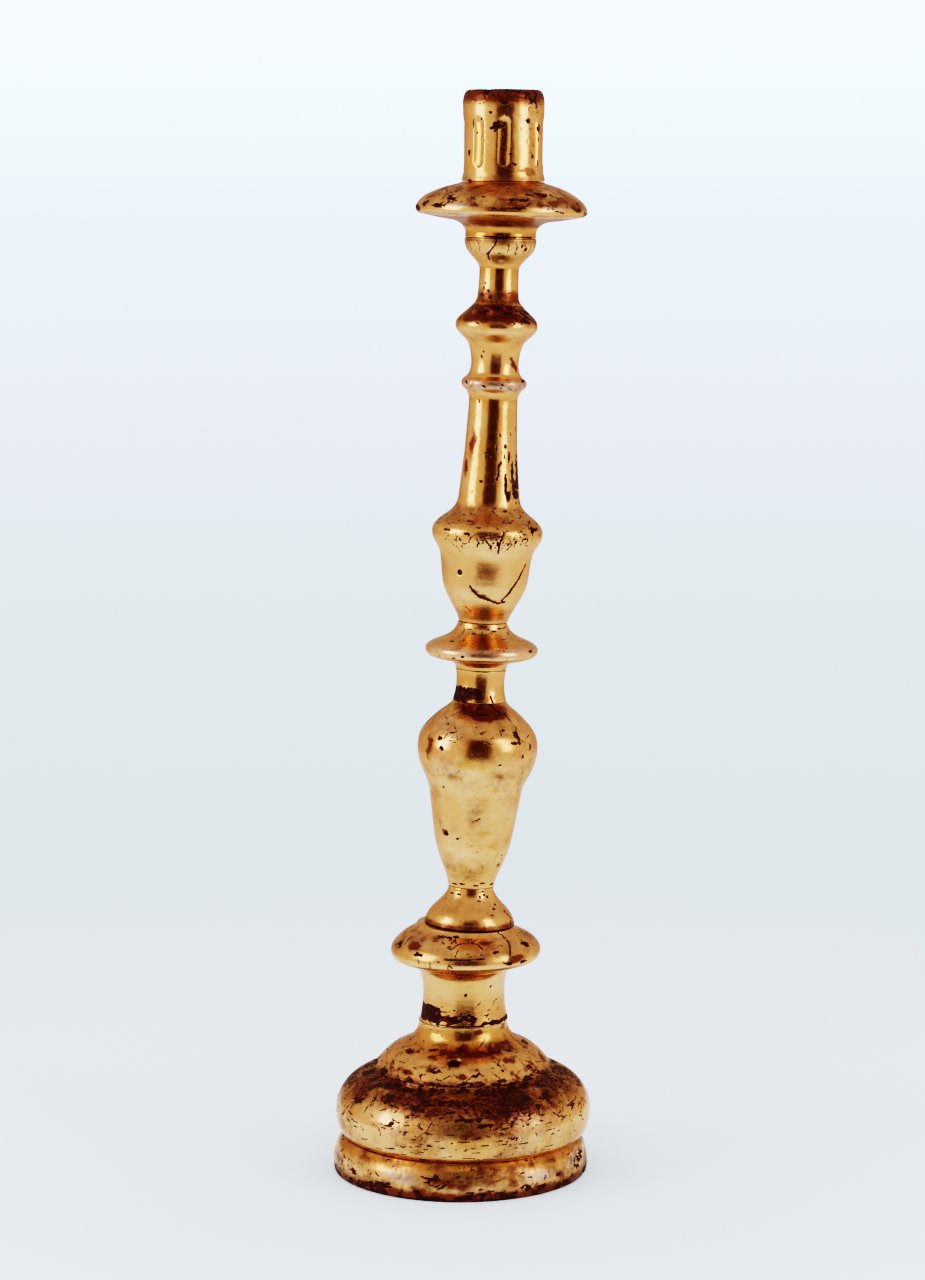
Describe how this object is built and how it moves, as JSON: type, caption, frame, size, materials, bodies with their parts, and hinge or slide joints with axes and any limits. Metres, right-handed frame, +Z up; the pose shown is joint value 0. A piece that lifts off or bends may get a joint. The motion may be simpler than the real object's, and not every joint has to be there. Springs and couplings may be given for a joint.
{
  "type": "altar candlestick",
  "caption": "Turned and gilded wooden altar candlestick: stepped round base, leaning baluster shaft, drip pan, and a fluted candle socket with a lift-out metal liner.",
  "frame": {"origin": "centre of the base, on the surface it stands on", "axes": "+Z up; -Y is the front, where the nail is; the shaft leans to +X"},
  "size_m": [0.1299, 0.1288, 0.5402],
  "materials": {
    "worn_gilding": "burnished leaf under golden varnish, worn to red-brown ground and wood on edges and upper faces",
    "bare_wood": "old unfinished softwood",
    "forged_iron": "rusted and blackened",
    "tinned_iron": "dull, sooted sheet"
  },
  "bodies": {
    "candlestick": {"base_plinth": "worn_gilding", "base_torus": "worn_gilding", "base_dome": "worn_gilding", "base_neck": "worn_gilding", "lower_disc": "worn_gilding", "lower_cup": "worn_gilding", "vase": "worn_gilding", "neck_collar": "worn_gilding", "mid_disc": "worn_gilding", "upper_shaft": "worn_gilding", "drip_pan": "worn_gilding", "candle_socket": "worn_gilding", "tenon_wedge": "bare_wood", "base_nail": "forged_iron"},
    "liner": {"socket_liner": "tinned_iron"}
  },
  "joints": [
    {"name": "liner_lift", "type": "slide", "parent": "candlestick", "child": "liner", "axis": [0.007, 0, 1], "range_m": [0, 0.038]}
  ]
}
